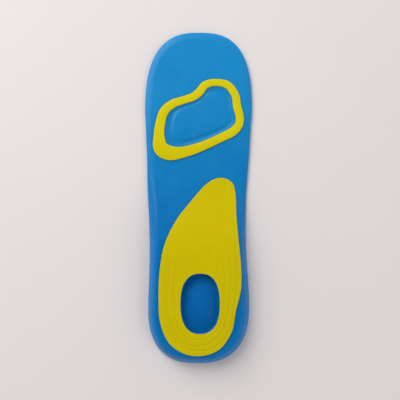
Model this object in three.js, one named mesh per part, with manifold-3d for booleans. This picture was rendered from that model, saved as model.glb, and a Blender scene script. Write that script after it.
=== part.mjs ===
// Trim-to-fit gel insole for a right shoe, lying gel side up: a blue gel body with a heel cup,
// a yellow gel ring under the ball of the foot, and a yellow gel pad from the arch to the heel.
// Millimetres: +X is the arch side, +Y the toes, +Z up, with the origin under the middle.
import * as THREE from 'three';
import { mergeVertices } from 'three/addons/utils/BufferGeometryUtils.js';
import Module from 'manifold-3d';

// Gel body, outline: the two sides from the ball back to the heel, between a rounded toe and heel.
const TOE_END = 144;
const HEEL_END = -144;
const TOE_ROUND = { medial: 2.8, lateral: 2.58 };
const HEEL_ROUND = { medial: 2.5, lateral: 2.65 };
const SIDES = [
  { y: 74, lateral: -47.0, medial: 47.0 },
  { y: 60, lateral: -46.3, medial: 45.9 },
  { y: 30, lateral: -44.8, medial: 43.9 },
  { y: 0, lateral: -43.9, medial: 41.3 },
  { y: -25, lateral: -42.4, medial: 40.6 },
  { y: -50, lateral: -41.8, medial: 40.8 },
  { y: -75, lateral: -42.0, medial: 42.2 },
  { y: -95, lateral: -42.5, medial: 42.9 },
];

// Gel body, thickness: a thin edge, a thicker forefoot and the thickest gel under the heel.
const EDGE_THICK = 1.8;
const EDGE_SOFT = 0.4;
const FORE_THICK = 3.4;
const HEEL_THICK = 6.2;
const CROWN = { drop: 0.7, atHalfWidth: 40 };

// Heel cup: its hollow on the foot side deepens from the midfoot back, and its wall is the flank.
const CUP = { depth: 8, start: 24, full: -60, wall: 9, rimLand: 2.2 };
const FLANK = { width: 7.6, round: 1.9 };
const ARCH = { slope: 20, front: 20, back: -75, innerX: 0, outerX: 20 };

// Loops of the body's two faces, as distances in from the edge. The last reaches the centre line.
const FOOT_INSETS = [EDGE_SOFT, CUP.rimLand, 4.8, 7.6, 11.2, 20, 32, 99];
const GEL_INSETS = [EDGE_SOFT, 1.4, 2.8, 4.6, FLANK.width, 16, 30, 99];
const BODY_POINTS = { round: 24, straight: 20 };

// Fit of the yellow pads, which stand proud of the body in shallow pockets.
const GAP = 0.3;
const PROUD = 1;
const PAD_SOFT = 0.5;
const RING_POCKET = 1;
const SUPPORT_POCKET = 1.5;
const CUT_CLEAR = 4;

// Forefoot ring: centre line and band width, anticlockwise from the top of the ball.
const RING_POINTS = 84;
const RING = [
  { x: 14.5, y: 97.5, width: 6.2 },
  { x: 6.0, y: 95.2, width: 6.8 },
  { x: 1.1, y: 89.3, width: 7.2 },
  { x: -4.2, y: 84.8, width: 7.0 },
  { x: -13.1, y: 81.6, width: 6.7 },
  { x: -22.9, y: 78.0, width: 7.5 },
  { x: -30.2, y: 71.2, width: 7.9 },
  { x: -33.4, y: 60.5, width: 8.4 },
  { x: -34.4, y: 49.5, width: 9.5 },
  { x: -32.8, y: 39.0, width: 12.6 },
  { x: -25.6, y: 34.4, width: 13.0 },
  { x: -15.5, y: 34.6, width: 10.2 },
  { x: -3.7, y: 37.7, width: 8.7 },
  { x: 8.9, y: 42.7, width: 7.6 },
  { x: 19.8, y: 47.9, width: 7.4 },
  { x: 29.4, y: 52.8, width: 7.7 },
  { x: 35.2, y: 59.2, width: 7.1 },
  { x: 36.1, y: 67.0, width: 6.9 },
  { x: 33.9, y: 76.0, width: 7.1 },
  { x: 32.4, y: 85.7, width: 6.8 },
  { x: 25.6, y: 95.2, width: 6.8 },
];

// Inner pad: the part of the body that rises inside the ring, with a sunk margin round it.
const INNER_PAD = { x: 5.4, y: 66, margin: 4.2, slope: 4.2, sunk: 0.5, raised: 0.2, root: 0.6 };

// Arch and heel support: outline, anticlockwise from the tip under the arch.
const SUPPORT_POINTS = 70;
const SUPPORT = [
  { x: 18.4, y: 12.3 },
  { x: 6.6, y: 6.5 },
  { x: -7.2, y: -9.4 },
  { x: -19.4, y: -26.0 },
  { x: -28.4, y: -46.0 },
  { x: -32.2, y: -68.0 },
  { x: -32.9, y: -90.0 },
  { x: -31.4, y: -109.5 },
  { x: -24.0, y: -126.0 },
  { x: -10.6, y: -134.8 },
  { x: 4.4, y: -136.0 },
  { x: 18.0, y: -130.4 },
  { x: 27.4, y: -117.0 },
  { x: 31.0, y: -100.0 },
  { x: 35.2, y: -83.0 },
  { x: 35.6, y: -65.0 },
  { x: 33.8, y: -43.0 },
  { x: 32.3, y: -20.0 },
  { x: 31.9, y: -2.0 },
  { x: 28.7, y: 8.4 },
];

// Oval opening in the support, and the body's well under it: a deep margin round a low dome.
const OVAL_POINTS = 48;
const OVAL = { x: 1.5, y: -94.2, halfWidth: 16.3, halfLength: 24.6, round: 2.4 };
const WELL = { depth: 3.6, dome: 2, domeTop: 0.2, domeFoot: 0.9, corner: 0.8 };
const WELL_SHARES = [0, WELL.domeTop, 0.38, 0.55, 0.72, WELL.domeFoot, 0.94];

// Moulded grooves round the heel: each one's share of the ribbed width in from the support's edge,
// and the station where it has faded out, on both sides of the foot.
const RIBBED = { heel: 18, arch: 7, narrowFrom: -60, narrowTo: 20 };
const GROOVES = [
  { lateral: 0.30, medial: 0.18, lateralEnd: -38, medialEnd: 0 },
  { lateral: 0.44, medial: 0.49, lateralEnd: -38, medialEnd: -28 },
  { lateral: 0.73, medial: 0.78, lateralEnd: -38, medialEnd: -46 },
];
const GROOVE = { depth: 0.35, halfShare: 0.03, fade: 34, lateralX: -30, medialX: 35 };

// Lines across the support turn towards the oval at a share of the ribbed width.
const TURN = { share: 0.85, soft: 1 };
const SMOOTH_SHARES = [TURN.share, 0.9, 0.95];
const UNDER_SHARES = [0, 0.4, ...SMOOTH_SHARES, 1];

const BLUE = new THREE.MeshStandardMaterial({ color: 0x0869ac, roughness: 0.42, metalness: 0 });
const YELLOW = new THREE.MeshStandardMaterial({ color: 0xc9b612, roughness: 0.38, metalness: 0 });

const { clamp, lerp, smoothstep } = THREE.MathUtils;
const wasm = await Module();
wasm.setup();

// Skin over a stack of loops that each have the same number of points. The first and last
// loops either fold shut onto themselves or, for a pad with an opening, join each other.
function skin(loops, joined = false) {
  const count = loops[0].length;
  const bands = joined ? loops.length : loops.length - 1;
  const index = [];
  for (let k = 0; k < bands; k += 1) {
    const low = k * count;
    const high = ((k + 1) % loops.length) * count;
    for (let i = 0; i < count; i += 1) {
      const j = (i + 1) % count;
      index.push(low + i, low + j, high + j, low + i, high + j, high + i);
    }
  }
  const geometry = new THREE.BufferGeometry();
  geometry.setFromPoints(loops.flat());
  geometry.setIndex(index);
  const merged = mergeVertices(geometry);
  const kept = [];
  for (let i = 0; i < merged.index.count; i += 3) {
    const [a, b, c] = [0, 1, 2].map((k) => merged.index.getX(i + k));
    if (a !== b && b !== c && c !== a) kept.push(a, b, c);
  }
  merged.setIndex(kept);
  return merged;
}

// Loop folded shut at a point, to close a skin.
function shut(loop, x, y, z) {
  return loop.map(() => new THREE.Vector3(x, y, z));
}

function toSolid(geometry) {
  const vertProperties = new Float32Array(geometry.attributes.position.array);
  const triVerts = new Uint32Array(geometry.index.array);
  return new wasm.Manifold(new wasm.Mesh({ numProp: 3, vertProperties, triVerts }));
}

function toGeometry(solid) {
  const mesh = solid.getMesh();
  const geometry = new THREE.BufferGeometry();
  geometry.setAttribute('position', new THREE.BufferAttribute(mesh.vertProperties, 3));
  geometry.setIndex(new THREE.BufferAttribute(mesh.triVerts, 1));
  return geometry;
}

function toPiece(name, geometry, material) {
  geometry.computeVertexNormals();
  const piece = new THREE.Mesh(geometry, material);
  piece.name = name;
  return piece;
}

// Body outline on one side at a station y: a smooth curve through the side rows.
function sideAt(column, y) {
  const last = SIDES.length - 1;
  const slope = (k) => {
    if (k === 0 || k === last) return 0;
    return (SIDES[k + 1][column] - SIDES[k - 1][column]) / (SIDES[k + 1].y - SIDES[k - 1].y);
  };
  const k = clamp(SIDES.findIndex((row) => row.y <= y) - 1, 0, last - 1);
  const step = SIDES[k + 1].y - SIDES[k].y;
  const t = (y - SIDES[k].y) / step;
  const t2 = t * t;
  const t3 = t2 * t;
  return (2 * t3 - 3 * t2 + 1) * SIDES[k][column]
    + (t3 - 2 * t2 + t) * step * slope(k)
    + (3 * t2 - 2 * t3) * SIDES[k + 1][column]
    + (t3 - t2) * step * slope(k + 1);
}

// Points round the body's edge, anticlockwise from the arch side of the ball, each with the point
// on the body's centre line that it is drawn in towards.
function bodyStations() {
  const front = SIDES[0];
  const back = SIDES[SIDES.length - 1];
  const middle = (back.medial + back.lateral) / 2;
  const power = (value, n) => Math.sign(value) * Math.abs(value) ** (2 / n);
  const stations = [];
  const add = (x, y, spineY) => {
    stations.push({ edge: new THREE.Vector2(x, y), spine: new THREE.Vector2(0, spineY) });
  };
  for (let i = 0; i < BODY_POINTS.round; i += 1) {
    const angle = (Math.PI * i) / BODY_POINTS.round;
    const n = angle < Math.PI / 2 ? TOE_ROUND.medial : TOE_ROUND.lateral;
    const x = front.medial * power(Math.cos(angle), n);
    add(x, front.y + (TOE_END - front.y) * power(Math.sin(angle), n), front.y);
  }
  for (let i = 0; i < BODY_POINTS.straight; i += 1) {
    const y = lerp(front.y, back.y, i / BODY_POINTS.straight);
    add(sideAt('lateral', y), y, y);
  }
  for (let i = 0; i < BODY_POINTS.round; i += 1) {
    const angle = (Math.PI * i) / BODY_POINTS.round;
    const n = angle < Math.PI / 2 ? HEEL_ROUND.lateral : HEEL_ROUND.medial;
    const x = middle - (back.medial - middle) * power(Math.cos(angle), n);
    add(x, back.y + (HEEL_END - back.y) * power(Math.sin(angle), n), back.y);
  }
  for (let i = 0; i < BODY_POINTS.straight; i += 1) {
    const y = lerp(back.y, front.y, i / BODY_POINTS.straight);
    add(sideAt('medial', y), y, y);
  }
  return stations;
}

// Share of the heel's form at a station: none at the ball, all of it over the cup.
function heelShare(y) {
  return 1 - smoothstep(y, CUP.full, CUP.start);
}

// Height of the gel side inside the bevel.
function soleHeight(x, y) {
  const heel = heelShare(y);
  const crown = CROWN.drop * (x / CROWN.atHalfWidth) ** 2;
  return lerp(FORE_THICK, HEEL_THICK, heel) + (CUP.depth - crown) * heel;
}

// Height of the gel side at a distance in from the edge: a bevel at the toes, the flank at the heel.
function gelHeight(x, y, inset) {
  const share = 1 - (1 - clamp(inset / FLANK.width, 0, 1)) ** FLANK.round;
  return lerp(EDGE_THICK, soleHeight(x, y), share);
}

// Height of the foot side: a narrow land at the rim, then the hollow of the cup, which slopes
// more gently on the arch side.
function footHeight(x, y, inset) {
  const middle = (ARCH.front + ARCH.back) / 2;
  const along = 1 - Math.abs((y - middle) / (ARCH.front - middle));
  const arch = smoothstep(along, 0, 1) * smoothstep(x, ARCH.innerX, ARCH.outerX);
  const wall = CUP.wall + ARCH.slope * arch;
  const share = 1 - (1 - clamp((inset - CUP.rimLand) / wall, 0, 1)) ** 2;
  return CUP.depth * heelShare(y) * share;
}

function bodyShell() {
  const stations = bodyStations();
  const loop = (inset, height) => stations.map(({ edge, spine }) => {
    const reach = edge.distanceTo(spine);
    const { x, y } = edge.clone().lerp(spine, Math.min(1, inset / reach));
    return new THREE.Vector3(x, y, height(x, y, inset));
  });
  return skin([
    ...FOOT_INSETS.map((inset) => loop(inset, footHeight)).reverse(),
    loop(0, () => EDGE_SOFT),
    loop(0, () => EDGE_THICK - EDGE_SOFT),
    ...GEL_INSETS.map((inset) => loop(inset, gelHeight)),
  ]);
}

// Closed curve through the rows of a table; a ring's band width rides along as its third number.
function closedCurve(rows) {
  const points = rows.map(({ x, y, width = 0 }) => new THREE.Vector3(x, y, width));
  return new THREE.CatmullRomCurve3(points, true, 'catmullrom');
}

// Points of an anticlockwise closed curve with their outward directions.
function walk(curve, count) {
  return Array.from({ length: count }, (_, i) => {
    const point = curve.getPoint(i / count);
    const along = curve.getTangent(i / count);
    const outward = new THREE.Vector2(along.y, -along.x).normalize();
    return { point, outward };
  });
}

const ringWalk = walk(closedCurve(RING), RING_POINTS);

// Loop along the ring on its outer side (1) or inner side (-1), moved out by a margin.
function ringLoop(side, margin, z) {
  return ringWalk.map(({ point, outward }) => {
    const out = (side * point.z) / 2 + margin;
    return new THREE.Vector3(point.x + outward.x * out, point.y + outward.y * out, z);
  });
}

function ringPad() {
  const foot = FORE_THICK - RING_POCKET + GAP;
  const top = FORE_THICK + PROUD;
  return skin([
    ringLoop(-1, 0, foot),
    ringLoop(1, 0, foot),
    ringLoop(1, 0, top - PAD_SOFT),
    ringLoop(1, -PAD_SOFT, top),
    ringLoop(-1, PAD_SOFT, top),
    ringLoop(-1, 0, top - PAD_SOFT),
  ], true);
}

function ringPocket() {
  const { x, y } = INNER_PAD;
  const floor = FORE_THICK - RING_POCKET;
  const above = FORE_THICK + CUT_CLEAR;
  const edge = ringLoop(1, GAP, floor);
  return skin([shut(edge, x, y, floor), edge, ringLoop(1, GAP, above), shut(edge, x, y, above)]);
}

function innerPad() {
  const { x, y, margin, slope, sunk, raised, root } = INNER_PAD;
  const middle = new THREE.Vector3(x, y, 0);
  const edge = ringLoop(-1, -GAP, 0);
  const loop = (inset, z) => edge.map((point) => {
    const at = point.clone().lerp(middle, inset / point.distanceTo(middle));
    return at.setZ(z);
  });
  const foot = FORE_THICK - RING_POCKET - root;
  const low = FORE_THICK - sunk;
  const high = FORE_THICK + raised;
  return skin([
    shut(edge, x, y, foot),
    loop(0, foot),
    loop(0, low),
    loop(margin, low),
    loop(margin + slope / 3, lerp(low, high, 2 / 3)),
    loop(margin + slope, high),
    shut(edge, x, y, high),
  ]);
}

function ovalPoint(angle) {
  const { x, y, halfWidth, halfLength, round } = OVAL;
  const across = Math.abs(Math.cos(angle) / halfWidth) ** round;
  const along = Math.abs(Math.sin(angle) / halfLength) ** round;
  const radius = (across + along) ** (-1 / round);
  return new THREE.Vector2(x + radius * Math.cos(angle), y + radius * Math.sin(angle));
}

// Lines across the support: square in from its edge as far as the turn, then on to the oval.
function supportTracks(margin) {
  const { heel, arch, narrowFrom, narrowTo } = RIBBED;
  const towards = (at) => ovalPoint(Math.atan2(at.y - OVAL.y, at.x - OVAL.x));
  return walk(closedCurve(SUPPORT), SUPPORT_POINTS).map(({ point, outward }) => {
    const edge = new THREE.Vector2(point.x, point.y).addScaledVector(outward, margin);
    const wide = lerp(heel, arch, smoothstep(edge.y, narrowFrom, narrowTo));
    const room = edge.distanceTo(towards(edge));
    const ribbed = (wide + room - Math.hypot(wide - room, TURN.soft)) / 2;
    const turn = edge.clone().addScaledVector(outward, -TURN.share * ribbed);
    return { edge, turn, inner: towards(turn) };
  });
}

// Places on a track: a share of the way in, or a short way in from the edge or back from the oval.
const sharePlace = (share) => ({ edge, turn, inner }) => {
  if (share <= TURN.share) return edge.clone().lerp(turn, share / TURN.share);
  return turn.clone().lerp(inner, (share - TURN.share) / (1 - TURN.share));
};
const edgePlace = (margin) => ({ edge, turn }) => edge.clone().lerp(turn, margin / edge.distanceTo(turn));
const ovalPlace = (margin) => ({ turn, inner }) => inner.clone().lerp(turn, margin / inner.distanceTo(turn));

// Loop round the support at one place on every track, at a height over the sole.
function supportLoop(tracks, place, over) {
  return tracks.map((track) => {
    const { x, y } = place(track);
    return new THREE.Vector3(x, y, soleHeight(x, y) + over);
  });
}

// Three loops of a groove: its two lips and, between them, its floor, which rises as it fades out.
function grooveLoops(tracks, { lateral, medial, lateralEnd, medialEnd }) {
  const { depth, halfShare, fade, lateralX, medialX } = GROOVE;
  return [-1, 0, 1].map((side) => tracks.map((track) => {
    const across = smoothstep(track.edge.x, lateralX, medialX);
    const { x, y } = sharePlace(lerp(lateral, medial, across) + side * halfShare)(track);
    const end = lerp(lateralEnd, medialEnd, across);
    const dip = side === 0 ? depth * (1 - smoothstep(y, end - fade, end)) : 0;
    return new THREE.Vector3(x, y, soleHeight(x, y) + PROUD - dip);
  }));
}

function supportPad() {
  const tracks = supportTracks(0);
  const under = (share) => supportLoop(tracks, sharePlace(share), GAP - SUPPORT_POCKET);
  const top = (place) => supportLoop(tracks, place, PROUD);
  const shoulder = (place) => supportLoop(tracks, place, PROUD - PAD_SOFT);
  return skin([
    ...UNDER_SHARES.map(under).reverse(),
    shoulder(edgePlace(0)),
    top(edgePlace(PAD_SOFT)),
    ...GROOVES.flatMap((groove) => grooveLoops(tracks, groove)),
    ...SMOOTH_SHARES.map((share) => top(sharePlace(share))),
    top(ovalPlace(PAD_SOFT)),
    shoulder(ovalPlace(0)),
  ], true);
}

function supportPocket() {
  const { x, y } = OVAL;
  const tracks = supportTracks(GAP);
  const loops = (over) => UNDER_SHARES.map((share) => supportLoop(tracks, sharePlace(share), over));
  return skin([
    shut(tracks, x, y, soleHeight(x, y) - SUPPORT_POCKET),
    ...loops(-SUPPORT_POCKET).reverse(),
    ...loops(CUT_CLEAR),
    shut(tracks, x, y, soleHeight(x, y) + CUT_CLEAR),
  ]);
}

function heelWell() {
  const { depth, dome, domeTop, domeFoot, corner } = WELL;
  const middle = new THREE.Vector2(OVAL.x, OVAL.y);
  const bottom = -SUPPORT_POCKET - depth;
  const loop = (share, over) => Array.from({ length: OVAL_POINTS }, (_, i) => {
    const { x, y } = middle.clone().lerp(ovalPoint((2 * Math.PI * i) / OVAL_POINTS), share);
    return new THREE.Vector3(x, y, soleHeight(x, y) + over);
  });
  const floor = WELL_SHARES.map((share) => {
    const rise = dome * (1 - smoothstep(share, domeTop, domeFoot));
    return loop(share, bottom + rise);
  });
  return skin([...floor, loop(1, bottom + corner), loop(1, 0), loop(0, 0)]);
}

function gelBody() {
  return toGeometry(
    toSolid(bodyShell())
      .subtract(toSolid(ringPocket()))
      .add(toSolid(innerPad()))
      .subtract(toSolid(supportPocket()))
      .subtract(toSolid(heelWell())),
  );
}

const insole = new THREE.Group();
insole.name = 'gel_insole';
insole.add(
  toPiece('gel_body', gelBody(), BLUE),
  toPiece('forefoot_ring', ringPad(), YELLOW),
  toPiece('arch_heel_support', supportPad(), YELLOW),
);

export default insole;
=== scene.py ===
import math
import bmesh
import bpy
import numpy as np
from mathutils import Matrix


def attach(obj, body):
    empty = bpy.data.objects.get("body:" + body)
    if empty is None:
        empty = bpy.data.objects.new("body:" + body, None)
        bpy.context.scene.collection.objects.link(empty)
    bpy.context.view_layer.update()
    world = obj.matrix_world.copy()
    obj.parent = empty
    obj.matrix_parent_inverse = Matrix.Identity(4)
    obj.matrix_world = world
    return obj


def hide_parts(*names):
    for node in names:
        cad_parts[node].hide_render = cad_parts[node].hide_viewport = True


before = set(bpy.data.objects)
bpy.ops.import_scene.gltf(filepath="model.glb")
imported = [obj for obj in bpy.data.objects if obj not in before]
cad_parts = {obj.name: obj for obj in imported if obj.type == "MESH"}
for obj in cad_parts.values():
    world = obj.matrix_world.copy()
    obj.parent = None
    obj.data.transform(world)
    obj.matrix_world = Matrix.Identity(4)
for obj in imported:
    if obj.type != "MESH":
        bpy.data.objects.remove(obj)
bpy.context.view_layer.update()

# Forefoot ring: a closed band of soft yellow gel under the ball of the foot, broadest at its outer
# corner on the heel side. It is cast first, in a channel of the mould, and the blue gel is poured
# round it, so its edges are rounded and its top is slightly crowned.
MM = 0.001
FORE_THICK = 3.4
PROUD = 1.0
GAP = 0.3
RING_POCKET = 1.0
RING_CORNER = 0.35
RING_CROWN = 0.22
RING_POINTS = 420
RING_ACROSS = 9
RING_ROWS = (  # x, y and width of the band along its middle
    (14.5, 97.5, 6.2),
    (6.0, 95.2, 6.8),
    (1.1, 89.3, 7.2),
    (-4.2, 84.8, 7.0),
    (-13.1, 81.6, 6.7),
    (-22.9, 78.0, 7.5),
    (-30.2, 71.2, 7.9),
    (-33.4, 60.5, 8.4),
    (-34.4, 49.5, 9.5),
    (-32.8, 39.0, 12.6),
    (-25.6, 34.4, 13.0),
    (-15.5, 34.6, 10.2),
    (-3.7, 37.7, 8.7),
    (8.9, 42.7, 7.6),
    (19.8, 47.9, 7.4),
    (29.4, 52.8, 7.7),
    (35.2, 59.2, 7.1),
    (36.1, 67.0, 6.9),
    (33.9, 76.0, 7.1),
    (32.4, 85.7, 6.8),
    (25.6, 95.2, 6.8),
)
CORNER_STEPS = 7
WELD = 1e-7  # metres
PAD_SHARP = 50.0  # degrees
YELLOW_DEEP = (0.605, 0.505, 0.002)
YELLOW_LIGHT = (0.695, 0.605, 0.006)
YELLOW_FADE = (0.0, 60.0)  # y where the deep colour ends, and where the light one starts
YELLOW_SCATTER = (0.0014, 0.0010, 0.0003)  # metres, for red, green and blue
GEL_INDEX = 1.45
GEL_SHINE = 0.13
GEL_MILKY = 0.2
NOISE_SPAN = (0.3, 0.7)
CLOUD_SCALE = 42.0
CLOUD_DETAIL = 4.0
CLOUD_TONE = 0.14
SATIN_SCALE = 130.0
SATIN_DETAIL = 5.0
SATIN_ROUGH = (0.2, 0.3)
GRAIN_SCALE = 1500.0
GRAIN_DETAIL = 3.0
GRAIN_STRENGTH = 0.25
GRAIN_DEPTH = 0.05


def ease(value, start, end):
    t = np.clip((value - start) / (end - start), 0.0, 1.0)
    return t * t * (3.0 - 2.0 * t)


def crown(t):
    """Low arch over a strip: 0 at both of its edges and 1 along its middle."""
    return 4 * t * (1 - t)


def smooth_between(t, here, leave, after, arrive):
    """Smooth curve from one row to the next, with the slopes that it leaves and arrives at."""
    return (
        (2 * t**3 - 3 * t**2 + 1) * here
        + (t**3 - 2 * t**2 + t) * leave
        + (3 * t**2 - 2 * t**3) * after
        + (t**3 - t**2) * arrive
    )


def closed_line(rows, count):
    """Points on a smooth anticlockwise line through the rows, and the way out of it at each."""
    rows = np.array(rows)
    place = np.arange(count) / count * len(rows)
    start = np.floor(place).astype(int)
    t = (place - start)[:, None]
    before, here, after, beyond = (rows[(start + k) % len(rows)] for k in (-1, 0, 1, 2))
    leave = (after - before) / 2
    arrive = (beyond - here) / 2
    points = smooth_between(t, here, leave, after, arrive)
    along = (
        (6 * t**2 - 6 * t) * (here - after)
        + (3 * t**2 - 4 * t + 1) * leave
        + (3 * t**2 - 2 * t) * arrive
    )
    outward = np.stack([along[:, 1], -along[:, 0]], axis=1)
    return points, outward / np.linalg.norm(outward, axis=1, keepdims=True)


def rounded_corner(radius, steps=CORNER_STEPS):
    """Distances in from a wall and down from a top, from the wall up onto the top."""
    turns = np.linspace(0.0, math.pi / 2, steps)
    return [(radius * (1 - math.cos(a)), radius * (1 - math.sin(a))) for a in turns]


def cast(name, loops, joined=False):
    """Skin over a stack of loops, as an object. Joined, the last loop closes onto the first."""
    loops = np.array(loops) * MM
    grid = np.arange(loops.shape[0] * loops.shape[1]).reshape(loops.shape[:2])
    if joined:
        grid = np.vstack([grid, grid[:1]])
    low, high = grid[:-1], grid[1:]
    faces = np.stack([low, np.roll(low, -1, 1), np.roll(high, -1, 1), high], axis=-1)
    mesh = bpy.data.meshes.new(name)
    mesh.from_pydata(loops.reshape(-1, 3).tolist(), [], faces.reshape(-1, 4).tolist())
    welded = bmesh.new()
    welded.from_mesh(mesh)
    bmesh.ops.remove_doubles(welded, verts=welded.verts, dist=WELD)
    welded.to_mesh(mesh)
    welded.free()
    piece = bpy.data.objects.new(name, mesh)
    bpy.context.scene.collection.objects.link(piece)
    return piece


def finish_surface(piece, material, sharp_over):
    piece.data.shade_smooth()
    piece.data.set_sharp_from_angle(angle=math.radians(sharp_over))
    piece.data.materials.clear()
    piece.data.materials.append(material)


def gel(name, deep, light, fade, scatter):
    """Satin cast gel, lighter towards the toes, with faint clouds and a fine mould grain."""
    material = bpy.data.materials.new(name)
    material.use_nodes = True
    nodes, links = material.node_tree.nodes, material.node_tree.links
    shader = nodes["Principled BSDF"]
    shader.inputs["IOR"].default_value = GEL_INDEX
    shader.inputs["Specular IOR Level"].default_value = GEL_SHINE
    shader.inputs["Subsurface Weight"].default_value = GEL_MILKY
    shader.inputs["Subsurface Radius"].default_value = tuple(s / max(scatter) for s in scatter)
    shader.inputs["Subsurface Scale"].default_value = max(scatter)
    place = nodes.new("ShaderNodeTexCoord")

    def noise(scale, detail):
        texture = nodes.new("ShaderNodeTexNoise")
        texture.inputs["Scale"].default_value = scale
        texture.inputs["Detail"].default_value = detail
        links.new(place.outputs["Object"], texture.inputs["Vector"])
        return texture.outputs["Fac"]

    def stretched(value, low, high):
        stretch = nodes.new("ShaderNodeMapRange")
        stretch.inputs["From Min"].default_value = NOISE_SPAN[0]
        stretch.inputs["From Max"].default_value = NOISE_SPAN[1]
        stretch.inputs["To Min"].default_value = low
        stretch.inputs["To Max"].default_value = high
        links.new(value, stretch.inputs["Value"])
        return stretch.outputs["Result"]

    split = nodes.new("ShaderNodeSeparateXYZ")
    links.new(place.outputs["Object"], split.inputs["Vector"])
    forward = nodes.new("ShaderNodeMapRange")
    forward.interpolation_type = "SMOOTHSTEP"
    forward.inputs["From Min"].default_value = fade[0] * MM
    forward.inputs["From Max"].default_value = fade[1] * MM
    links.new(split.outputs["Y"], forward.inputs["Value"])
    clouds = stretched(noise(CLOUD_SCALE, CLOUD_DETAIL), -CLOUD_TONE, CLOUD_TONE)
    tone = nodes.new("ShaderNodeMath")
    tone.use_clamp = True
    links.new(forward.outputs["Result"], tone.inputs[0])
    links.new(clouds, tone.inputs[1])
    colour = nodes.new("ShaderNodeMix")
    colour.data_type = "RGBA"
    colour.inputs["A"].default_value = (*deep, 1.0)
    colour.inputs["B"].default_value = (*light, 1.0)
    links.new(tone.outputs["Value"], colour.inputs["Factor"])
    links.new(colour.outputs["Result"], shader.inputs["Base Color"])
    satin = stretched(noise(SATIN_SCALE, SATIN_DETAIL), *SATIN_ROUGH)
    links.new(satin, shader.inputs["Roughness"])
    mould_skin = nodes.new("ShaderNodeBump")
    mould_skin.inputs["Strength"].default_value = GRAIN_STRENGTH
    mould_skin.inputs["Distance"].default_value = GRAIN_DEPTH * MM
    links.new(noise(GRAIN_SCALE, GRAIN_DETAIL), mould_skin.inputs["Height"])
    links.new(mould_skin.outputs["Normal"], shader.inputs["Normal"])
    return material


ring_line, ring_out = closed_line(RING_ROWS, RING_POINTS)


def ring_loop(side, margin, z):
    """Loop along the band's outer side (1) or inner side (-1), moved out by a margin."""
    out = side * ring_line[:, 2:] / 2 + margin
    flat = ring_line[:, :2] + ring_out * out
    return np.column_stack([flat, np.full(RING_POINTS, z)])


ring_foot = FORE_THICK - RING_POCKET + GAP
ring_top = FORE_THICK + PROUD
ring_corner = rounded_corner(RING_CORNER)
ring_outer = ring_loop(1, -RING_CORNER, ring_top)
ring_inner = ring_loop(-1, RING_CORNER, ring_top)
ring_across = [
    ring_outer + (ring_inner - ring_outer) * t + [0, 0, RING_CROWN * crown(t)]
    for t in np.linspace(0.0, 1.0, RING_ACROSS + 2)[1:-1]
]
ring = cast(
    "forefoot_ring_gel",
    [
        ring_loop(-1, 0, ring_foot),
        ring_loop(1, 0, ring_foot),
        *(ring_loop(1, -inset, ring_top - down) for inset, down in ring_corner),
        *ring_across,
        *(ring_loop(-1, inset, ring_top - down) for inset, down in reversed(ring_corner)),
    ],
    joined=True,
)
yellow_gel = gel("yellow_gel", YELLOW_DEEP, YELLOW_LIGHT, YELLOW_FADE, YELLOW_SCATTER)
finish_surface(ring, yellow_gel, PAD_SHARP)
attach(ring, "root")
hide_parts("forefoot_ring")

# Arch and heel support: one pad of the same yellow gel, from a rounded tip under the arch to a
# broad heel with an oval opening. Three fine moulded grooves run round the heel and fade out
# towards the arch, sooner on the outer side. It is cast with the ring and lies on the body's sole.
HEEL_THICK = 6.2
CUP_DEPTH = 8.0
CUP_START = 24.0
CUP_FULL = -60.0
CROWN_DROP = 0.7
CROWN_AT = 40.0
SUPPORT_POCKET = 1.5
SUPPORT_CORNER = 0.4
SUPPORT_POINTS = 560
SUPPORT_ROWS = (  # x and y of the outline
    (18.4, 12.3),
    (6.6, 6.5),
    (-7.2, -9.4),
    (-19.4, -26.0),
    (-28.4, -46.0),
    (-32.2, -68.0),
    (-32.9, -90.0),
    (-31.4, -109.5),
    (-24.0, -126.0),
    (-10.6, -134.8),
    (4.4, -136.0),
    (18.0, -130.4),
    (27.4, -117.0),
    (31.0, -100.0),
    (35.2, -83.0),
    (35.6, -65.0),
    (33.8, -43.0),
    (32.3, -20.0),
    (31.9, -2.0),
    (28.7, 8.4),
)
OVAL_MIDDLE = np.array([1.5, -94.2])
OVAL_HALF = np.array([16.3, 24.6])
OVAL_ROUND = 2.4
RIBBED_HEEL = 18.0  # width of the ribbed border
RIBBED_ARCH = 7.0
RIBBED_FROM = -60.0  # y where it starts to narrow
RIBBED_TO = 20.0
TURN = 0.85  # share of that width where the lines across the pad turn to the oval
TURN_SOFT = 1.0
GROOVES = (  # share of that width in from the edge, then y where it ends: outer side, arch side
    (0.30, 0.18, -38.0, 0.0),
    (0.44, 0.49, -38.0, -28.0),
    (0.73, 0.78, -38.0, -46.0),
)
GROOVE_SIDES = (-30.0, 35.0)  # x of the outer side and of the arch side
GROOVE_DEPTH = 0.26
GROOVE_HALF = 0.023
GROOVE_STEPS = 9
GROOVE_FADE = 34.0
STRIP_START = 1.1
STRIP_STEPS = 6
STRIP_CROWN = 0.06
SMOOTH_STEPS = 7
SMOOTH_END = 1.1
UNDER_STEPS = 20


def heel_share(y):
    return 1.0 - ease(y, CUP_FULL, CUP_START)


def sole_height(x, y):
    """Height of the body's gel side inside its bevel, which the pads lie on."""
    heel = heel_share(y)
    thick = FORE_THICK + (HEEL_THICK - FORE_THICK) * heel
    return thick + (CUP_DEPTH - CROWN_DROP * (x / CROWN_AT) ** 2) * heel


def oval_points(angles):
    ways = np.stack([np.cos(angles), np.sin(angles)], axis=1)
    reach = (np.abs(ways / OVAL_HALF) ** OVAL_ROUND).sum(1) ** (-1 / OVAL_ROUND)
    return OVAL_MIDDLE + ways * reach[:, None]


def towards_oval(points):
    away = points - OVAL_MIDDLE
    return oval_points(np.arctan2(away[:, 1], away[:, 0]))


support_line, support_out = closed_line(SUPPORT_ROWS, SUPPORT_POINTS)


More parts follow.
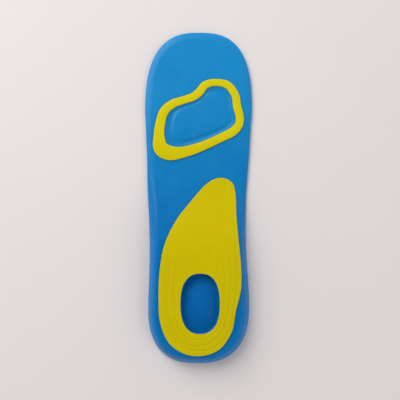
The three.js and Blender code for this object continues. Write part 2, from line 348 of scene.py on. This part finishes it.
def support_tracks(margin):
    """Lines across the pad: in from its edge, moved out by a margin, to the turn, then the oval."""
    edge = support_line + support_out * margin
    narrow = ease(edge[:, 1], RIBBED_FROM, RIBBED_TO)
    wide = RIBBED_HEEL + (RIBBED_ARCH - RIBBED_HEEL) * narrow
    room = np.linalg.norm(edge - towards_oval(edge), axis=1)
    reach = (wide + room - np.hypot(wide - room, TURN_SOFT)) / 2
    turn = edge - support_out * (TURN * reach)[:, None]
    return edge, turn, towards_oval(turn)


def part_way(start, end, distance):
    run = end - start
    return start + run * (distance / np.linalg.norm(run, axis=1))[:, None]


def on_track(tracks, share):
    edge, turn, inner = tracks
    share = np.broadcast_to(share, len(edge))[:, None]
    before = edge + (turn - edge) * (share / TURN)
    past = turn + (inner - turn) * ((share - TURN) / (1 - TURN))
    return np.where(share <= TURN, before, past)


def over_sole(flat, over):
    x, y = flat.T
    return np.column_stack([flat, sole_height(x, y) + over])


def ribbed_top(tracks):
    """Loops over the pad's top: low crowned strips with a groove after each, then smooth gel."""
    edge, turn, inner = tracks
    arch_side = ease(edge[:, 0], *GROOVE_SIDES)
    start = TURN * STRIP_START / np.linalg.norm(turn - edge, axis=1)
    loops = []
    for outer_share, arch_share, outer_end, arch_end in GROOVES:
        groove = outer_share + (arch_share - outer_share) * arch_side
        end = outer_end + (arch_end - outer_end) * arch_side
        strip = [(start + (groove - GROOVE_HALF - start) * t, STRIP_CROWN * crown(t))
                 for t in np.arange(STRIP_STEPS) / STRIP_STEPS]
        notch = [(groove + GROOVE_HALF * t, -GROOVE_DEPTH * (1 - ease(abs(t), 0, 1)))
                 for t in np.linspace(-1, 1, GROOVE_STEPS)]
        for share, relief in [*strip, *notch]:
            flat = on_track(tracks, share)
            shown = 1.0 - ease(flat[:, 1], end - GROOVE_FADE, end)
            loops.append(over_sole(flat, PROUD + relief * shown))
        start = groove + GROOVE_HALF
    end = 1 - (1 - TURN) * SMOOTH_END / np.linalg.norm(inner - turn, axis=1)
    for t in np.arange(1, SMOOTH_STEPS + 1) / SMOOTH_STEPS:
        loops.append(over_sole(on_track(tracks, start + (end - start) * t), PROUD))
    return loops


tracks = support_tracks(0)
edge, turn, inner = tracks
support_corner = rounded_corner(SUPPORT_CORNER)
under_shares = np.linspace(0.0, 1.0, UNDER_STEPS + 1)
support = cast(
    "arch_heel_support_gel",
    [
        *(over_sole(on_track(tracks, s), GAP - SUPPORT_POCKET) for s in reversed(under_shares)),
        *(over_sole(part_way(edge, turn, i), PROUD - d) for i, d in support_corner),
        *ribbed_top(tracks),
        *(over_sole(part_way(inner, turn, i), PROUD - d) for i, d in reversed(support_corner)),
    ],
    joined=True,
)
finish_surface(support, yellow_gel, PAD_SHARP)
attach(support, "root")
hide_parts("arch_heel_support")

# Gel body: the full-length insole in softer blue gel, thin and bevelled round the toes and cupped
# at the heel, with the hollow of the cup underneath. It is poured round the yellow pads, which lie
# in shallow pockets, and it has a moated pad inside the ring and a well with a domed floor.
TOE_END = 144.0
HEEL_END = -144.0
TOE_ROUND = (2.8, 2.58)  # arch side, outer side
HEEL_ROUND = (2.65, 2.5)  # outer side, arch side
ROUND_POINTS = 130
STRAIGHT_POINTS = 110
SIDE_ROWS = (  # y, outer side and arch side, from the heel to the ball
    (-95.0, -42.5, 42.9),
    (-75.0, -42.0, 42.2),
    (-50.0, -41.8, 40.8),
    (-25.0, -42.4, 40.6),
    (0.0, -43.9, 41.3),
    (30.0, -44.8, 43.9),
    (60.0, -46.3, 45.9),
    (74.0, -47.0, 47.0),
)
EDGE_THICK = 1.8
EDGE_SOFT = 0.4
EDGE_STEPS = 5
FLANK_WIDE = 7.6
FLANK_ROUND = 1.9
FLANK_STEPS = 18
FLANK_SPACING = 1.4
SOLE_INSETS = (9.5, 12, 15, 18, 21, 24, 27, 30, 33, 36, 39, 42, 46, 99)  # the last is past the spine
RIM_LAND = 2.2
FOOT_INSETS = (RIM_LAND, 2.8, 3.6, 4.5, 5.5, 6.6, 7.8, 9.2, 11.2, 14, 17, 20, 24, 28, 32, 38, 44, 99)
CUP_WALL = 9.0
CUP_ROUND = 2
ARCH_SLOPE = 20.0
ARCH_MIDDLE = -27.5
ARCH_HALF = 47.5
ARCH_OUT = 20.0
SEAM = 0.06
CUT_CLEAR = 4.0
INNER_MIDDLE = np.array([2.4, 68.0])
INNER_SUNK = 0.05
INNER_ROOT = 0.6
MOAT_WIDE = 0.29  # share of the way from the ring to the middle
MOAT_LIP = 0.012
MOAT_DEEP = 0.75
MOAT_STEPS = 17
WELL_DEPTH = 3.6
WELL_DOME = 2.0
WELL_DOME_TOP = 0.2  # share of the way from the oval's middle to its edge
WELL_DOME_FOOT = 0.9
WELL_FLOOR_END = 0.92
WELL_FLOOR_LOOPS = 24
WELL_CORNER = 0.8
WELL_POINTS = 240
# painted shade: the blue is multiplied darker inside the oval of the heel well, standing in for the
# shade in the recess
WELL_PAINTED_SHADE = (0.9, 0.82, 0.92)
WELL_PAINTED_SHADE_REACH = (1.07, 1.15)  # times the oval's half size
BLUE_DEEP = (0.002, 0.165, 0.460)
BLUE_LIGHT = (0.014, 0.265, 0.600)
BLUE_FADE = (-60.0, 110.0)
BLUE_SCATTER = (0.0003, 0.0008, 0.0014)
BODY_SHARP = 40.0


def side_at(column, y):
    """Body outline on one side: a smooth curve through the rows, straight on at both ends."""
    rows = np.array(SIDE_ROWS)
    along, out = rows[:, 0], rows[:, column]
    slope = np.zeros(len(rows))
    slope[1:-1] = (out[2:] - out[:-2]) / (along[2:] - along[:-2])
    k = np.clip(np.searchsorted(along, y, side="right") - 1, 0, len(rows) - 2)
    step = along[k + 1] - along[k]
    t = (y - along[k]) / step
    return smooth_between(t, out[k], step * slope[k], out[k + 1], step * slope[k + 1])


def oval_end(turns, power):
    cos, sin = np.cos(turns), np.sin(turns)
    return np.sign(cos) * np.abs(cos) ** (2 / power), np.abs(sin) ** (2 / power)


back_y, back_out, back_arch = SIDE_ROWS[0]
front_y, _, front_arch = SIDE_ROWS[-1]
turns = math.pi * np.arange(ROUND_POINTS) / ROUND_POINTS
runs = np.arange(STRAIGHT_POINTS) / STRAIGHT_POINTS
toe_x, toe_y = oval_end(turns, np.where(turns < math.pi / 2, *TOE_ROUND))
heel_x, heel_y = oval_end(turns, np.where(turns < math.pi / 2, *HEEL_ROUND))
heel_middle = (back_arch + back_out) / 2
outer_y = front_y + (back_y - front_y) * runs
arch_y = back_y + (front_y - back_y) * runs
body_edge = np.concatenate([
    np.stack([front_arch * toe_x, front_y + (TOE_END - front_y) * toe_y], axis=1),
    np.stack([side_at(1, outer_y), outer_y], axis=1),
    np.stack([heel_middle - (back_arch - heel_middle) * heel_x,
              back_y + (HEEL_END - back_y) * heel_y], axis=1),
    np.stack([side_at(2, arch_y), arch_y], axis=1),
])
spine_y = np.concatenate([np.full(ROUND_POINTS, front_y), outer_y,
                          np.full(ROUND_POINTS, back_y), arch_y])
body_spine = np.stack([np.zeros(len(spine_y)), spine_y], axis=1)
body_reach = np.linalg.norm(body_edge - body_spine, axis=1)


def gel_side(x, y, inset):
    """Height of the gel side: a bevel round the toes that grows into the flank of the heel."""
    share = 1.0 - (1.0 - min(inset / FLANK_WIDE, 1.0)) ** FLANK_ROUND
    return EDGE_THICK + (sole_height(x, y) - EDGE_THICK) * share


def foot_side(x, y, inset):
    """Height of the foot side: a land at the rim, then the hollow, gentler on the arch side."""
    along = 1.0 - np.abs((y - ARCH_MIDDLE) / ARCH_HALF)
    arch = ease(along, 0.0, 1.0) * ease(x, 0.0, ARCH_OUT)
    wall = CUP_WALL + ARCH_SLOPE * arch
    share = 1.0 - (1.0 - np.clip((inset - RIM_LAND) / wall, 0.0, 1.0)) ** CUP_ROUND
    return CUP_DEPTH * heel_share(y) * share


def body_loop(inset, height):
    share = np.minimum(1.0, inset / body_reach)[:, None]
    flat = body_edge + (body_spine - body_edge) * share
    x, y = flat.T
    return np.column_stack([flat, height(x, y, inset)])


def level(z):
    return lambda x, y, inset: np.full(len(x), z)


def folded(loop, middle, z):
    return np.tile([*middle, z], (len(loop), 1))


def shape_with(body, tool, operation):
    """Cuts the tool out of the body, or joins it on, and takes the tool away."""
    step = body.modifiers.new(operation.lower(), "BOOLEAN")
    step.operation = operation
    step.solver = "MANIFOLD"
    step.object = tool
    bpy.context.view_layer.update()
    shaped = body.evaluated_get(bpy.context.evaluated_depsgraph_get())
    mesh = bpy.data.meshes.new_from_object(shaped)
    body.modifiers.clear()
    body.data = mesh
    bpy.data.objects.remove(tool)


soft_edge = rounded_corner(EDGE_SOFT, EDGE_STEPS)
flank_insets = FLANK_WIDE * np.linspace(0.0, 1.0, FLANK_STEPS + 1)[1:] ** FLANK_SPACING
body = cast("gel_body_gel", [
    *(body_loop(inset, foot_side) for inset in reversed(FOOT_INSETS)),
    *(body_loop(inset, level(down)) for inset, down in reversed(soft_edge)),
    body_loop(0, level(EDGE_THICK - EDGE_SOFT)),
    body_loop(0, level(EDGE_THICK)),
    *(body_loop(inset, gel_side) for inset in [*flank_insets, *SOLE_INSETS]),
])

# The blue gel closes up to the yellow pads as far as a hairline seam.
ring_floor = FORE_THICK - RING_POCKET
shape_with(body, cast("ring_pocket", [
    folded(ring_line, INNER_MIDDLE, ring_floor),
    ring_loop(1, SEAM, ring_floor),
    ring_loop(1, SEAM, FORE_THICK + CUT_CLEAR),
    folded(ring_line, INNER_MIDDLE, FORE_THICK + CUT_CLEAR),
]), "DIFFERENCE")

inner_edge = ring_loop(-1, -SEAM, 0)[:, :2]
inner_top = FORE_THICK - INNER_SUNK


def inner_loop(share, z):
    """Loop inside the ring, a share of the way from its inner side to the middle."""
    flat = inner_edge + (INNER_MIDDLE - inner_edge) * share
    return np.column_stack([flat, np.full(RING_POINTS, z)])


def moat_loop(t):
    """Loop along the moat round the inner pad, from the ring (-1) to the pad (1)."""
    dip = MOAT_DEEP * (1.0 - float(ease(abs(t), 0.0, 1.0)))
    return inner_loop(MOAT_WIDE * (1.0 + t) / 2, inner_top - dip)


shape_with(body, cast("inner_pad", [
    folded(ring_line, INNER_MIDDLE, ring_floor - INNER_ROOT),
    inner_loop(0, ring_floor - INNER_ROOT),
    *(moat_loop(t) for t in np.linspace(-1.0, 1.0, MOAT_STEPS)),
    inner_loop(MOAT_WIDE + MOAT_LIP, inner_top),
    folded(ring_line, INNER_MIDDLE, inner_top),
]), "UNION")

pocket = support_tracks(SEAM)
oval_sole = float(sole_height(*OVAL_MIDDLE))
shape_with(body, cast("support_pocket", [
    folded(support_line, OVAL_MIDDLE, oval_sole - SUPPORT_POCKET),
    *(over_sole(on_track(pocket, share), -SUPPORT_POCKET) for share in reversed(under_shares)),
    *(over_sole(on_track(pocket, share), CUT_CLEAR) for share in under_shares),
    folded(support_line, OVAL_MIDDLE, oval_sole + CUT_CLEAR),
]), "DIFFERENCE")

oval_edge = oval_points(2 * math.pi * np.arange(WELL_POINTS) / WELL_POINTS)
oval_reach = np.linalg.norm(oval_edge - OVAL_MIDDLE, axis=1)
well_bottom = -SUPPORT_POCKET - WELL_DEPTH


def well_loop(share, over):
    return over_sole(OVAL_MIDDLE + (oval_edge - OVAL_MIDDLE) * share, over)


def well_floor(share):
    rise = WELL_DOME * (1.0 - float(ease(share, WELL_DOME_TOP, WELL_DOME_FOOT)))
    return well_loop(share, well_bottom + rise)


def well_wall(inset, up):
    share = 1.0 - inset / oval_reach
    return over_sole(OVAL_MIDDLE + (oval_edge - OVAL_MIDDLE) * share[:, None], well_bottom + up)


shape_with(body, cast("heel_well", [
    *(well_floor(share) for share in np.linspace(0.0, WELL_FLOOR_END, WELL_FLOOR_LOOPS)),
    *(well_wall(inset, up) for inset, up in reversed(rounded_corner(WELL_CORNER))),
    well_loop(1, 0),
    well_loop(0, 0),
]), "DIFFERENCE")


def paint_well_shade(material):
    """Paints shade into the blue inside the oval: a darker blue that stands in for the shade in the
    well.
    """
    nodes, links = material.node_tree.nodes, material.node_tree.links
    shader = nodes["Principled BSDF"]
    plain = shader.inputs["Base Color"].links[0].from_socket
    place = nodes.new("ShaderNodeTexCoord")
    away = nodes.new("ShaderNodeVectorMath")
    away.operation = "SUBTRACT"
    away.inputs[1].default_value = (*(OVAL_MIDDLE * MM), 0.0)
    links.new(place.outputs["Object"], away.inputs[0])
    ovals = nodes.new("ShaderNodeVectorMath")
    ovals.operation = "MULTIPLY"
    ovals.inputs[1].default_value = (*(1.0 / (OVAL_HALF * MM)), 0.0)
    links.new(away.outputs["Vector"], ovals.inputs[0])
    reach = nodes.new("ShaderNodeVectorMath")
    reach.operation = "LENGTH"
    links.new(ovals.outputs["Vector"], reach.inputs[0])
    inside = nodes.new("ShaderNodeMapRange")
    inside.interpolation_type = "SMOOTHSTEP"
    inside.inputs["From Min"].default_value = WELL_PAINTED_SHADE_REACH[1]
    inside.inputs["From Max"].default_value = WELL_PAINTED_SHADE_REACH[0]
    links.new(reach.outputs["Value"], inside.inputs["Value"])
    painted_shade = nodes.new("ShaderNodeMix")
    painted_shade.data_type = "RGBA"
    painted_shade.blend_type = "MULTIPLY"
    painted_shade.inputs["B"].default_value = (*WELL_PAINTED_SHADE, 1.0)
    links.new(plain, painted_shade.inputs["A"])
    links.new(inside.outputs["Result"], painted_shade.inputs["Factor"])
    links.new(painted_shade.outputs["Result"], shader.inputs["Base Color"])


blue_gel = gel("blue_gel", BLUE_DEEP, BLUE_LIGHT, BLUE_FADE, BLUE_SCATTER)
# paints shade into the blue inside the heel well
paint_well_shade(blue_gel)
finish_surface(body, blue_gel, BODY_SHARP)
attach(body, "root")
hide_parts("gel_body")

# Table top: a plain pale warm grey board, matt, with the faintest cloudiness. The insole lies on
# it gel side up.
FLOOR_HALF = 2.5  # metres
FLOOR_DROP = 0.0002
FLOOR_PALE = (0.80, 0.765, 0.76)
FLOOR_DULL = (0.78, 0.745, 0.74)
FLOOR_ROUGH = 0.75
FLOOR_SHINE = 0.2
FLOOR_CLOUDS = 9.0
FLOOR_CORNERS = ((-1, -1), (1, -1), (1, 1), (-1, 1))
floor_mesh = bpy.data.meshes.new("table_top")
floor_mesh.from_pydata(
    [(x * FLOOR_HALF, y * FLOOR_HALF, -FLOOR_DROP) for x, y in FLOOR_CORNERS],
    [],
    [(0, 1, 2, 3)],
)
floor = bpy.data.objects.new("table_top", floor_mesh)
bpy.context.scene.collection.objects.link(floor)
table = bpy.data.materials.new("table_top")
table.use_nodes = True
table_shader = table.node_tree.nodes["Principled BSDF"]
table_shader.inputs["Roughness"].default_value = FLOOR_ROUGH
table_shader.inputs["Specular IOR Level"].default_value = FLOOR_SHINE
table_place = table.node_tree.nodes.new("ShaderNodeTexCoord")
table_cloud = table.node_tree.nodes.new("ShaderNodeTexNoise")
table_cloud.inputs["Scale"].default_value = FLOOR_CLOUDS
table_tone = table.node_tree.nodes.new("ShaderNodeMix")
table_tone.data_type = "RGBA"
table_tone.inputs["A"].default_value = (*FLOOR_DULL, 1.0)
table_tone.inputs["B"].default_value = (*FLOOR_PALE, 1.0)
table.node_tree.links.new(table_place.outputs["Object"], table_cloud.inputs["Vector"])
table.node_tree.links.new(table_cloud.outputs["Fac"], table_tone.inputs["Factor"])
table.node_tree.links.new(table_tone.outputs["Result"], table_shader.inputs["Base Color"])
floor_mesh.materials.append(table)

# Light: a broad soft lamp from the upper left, a weaker one opposite, and a pale surround that is
# dimmer overhead, where the camera hangs.
SURROUND = (1.0, 0.985, 0.98)
SURROUND_LOW = 0.86
SURROUND_HIGH = 0.04
SURROUND_RISE = (0.3, 0.9)
LAMPS = (  # name, place in metres, width, power in watts
    ("window", (-0.88, 1.02, 1.00), 1.3, 25.0),
    ("bounce", (2.40, -1.40, 2.00), 2.6, 35.0),
)
for name, place, width, power in LAMPS:
    lamp = bpy.data.lights.new(name, "AREA")
    lamp.size = width
    lamp.energy = power
    lamp.color = SURROUND
    lamp_object = bpy.data.objects.new(name, lamp)
    lamp_object.location = place
    lamp_object.rotation_euler = (-lamp_object.location).to_track_quat("-Z", "Y").to_euler()
    bpy.context.scene.collection.objects.link(lamp_object)
world = bpy.data.worlds.new("surround")
world.use_nodes = True
bpy.context.scene.world = world
backdrop = world.node_tree.nodes["Background"]
backdrop.inputs["Color"].default_value = (*SURROUND, 1.0)
sky = world.node_tree.nodes.new("ShaderNodeTexCoord")
sky_split = world.node_tree.nodes.new("ShaderNodeSeparateXYZ")
sky_fade = world.node_tree.nodes.new("ShaderNodeMapRange")
sky_fade.inputs["From Min"].default_value = SURROUND_RISE[0]
sky_fade.inputs["From Max"].default_value = SURROUND_RISE[1]
sky_fade.inputs["To Min"].default_value = SURROUND_LOW
sky_fade.inputs["To Max"].default_value = SURROUND_HIGH
world.node_tree.links.new(sky.outputs["Generated"], sky_split.inputs["Vector"])
world.node_tree.links.new(sky_split.outputs["Z"], sky_fade.inputs["Value"])
world.node_tree.links.new(sky_fade.outputs["Result"], backdrop.inputs["Strength"])
bpy.context.scene.view_settings.view_transform = "Standard"

# Camera: a normal lens about half a metre above the table, tipped a little from straight down, so
# that the heel is slightly nearer to it than the toes.
CAMERA_LENS = 50.4
CAMERA_SENSOR = 36.0
CAMERA_TILT = 6.5  # degrees
CAMERA_FAR = 481.0
CAMERA_AIM = (1.35, -7.0, 5.0)
tilt = math.radians(CAMERA_TILT)
camera_data = bpy.data.cameras.new("camera")
camera_data.lens = CAMERA_LENS
camera_data.sensor_width = CAMERA_SENSOR
camera = bpy.data.objects.new("camera", camera_data)
camera.location = (
    CAMERA_AIM[0] * MM,
    (CAMERA_AIM[1] - CAMERA_FAR * math.sin(tilt)) * MM,
    (CAMERA_AIM[2] + CAMERA_FAR * math.cos(tilt)) * MM,
)
camera.rotation_euler = (tilt, 0.0, 0.0)
bpy.context.scene.collection.objects.link(camera)
bpy.context.scene.camera = camera
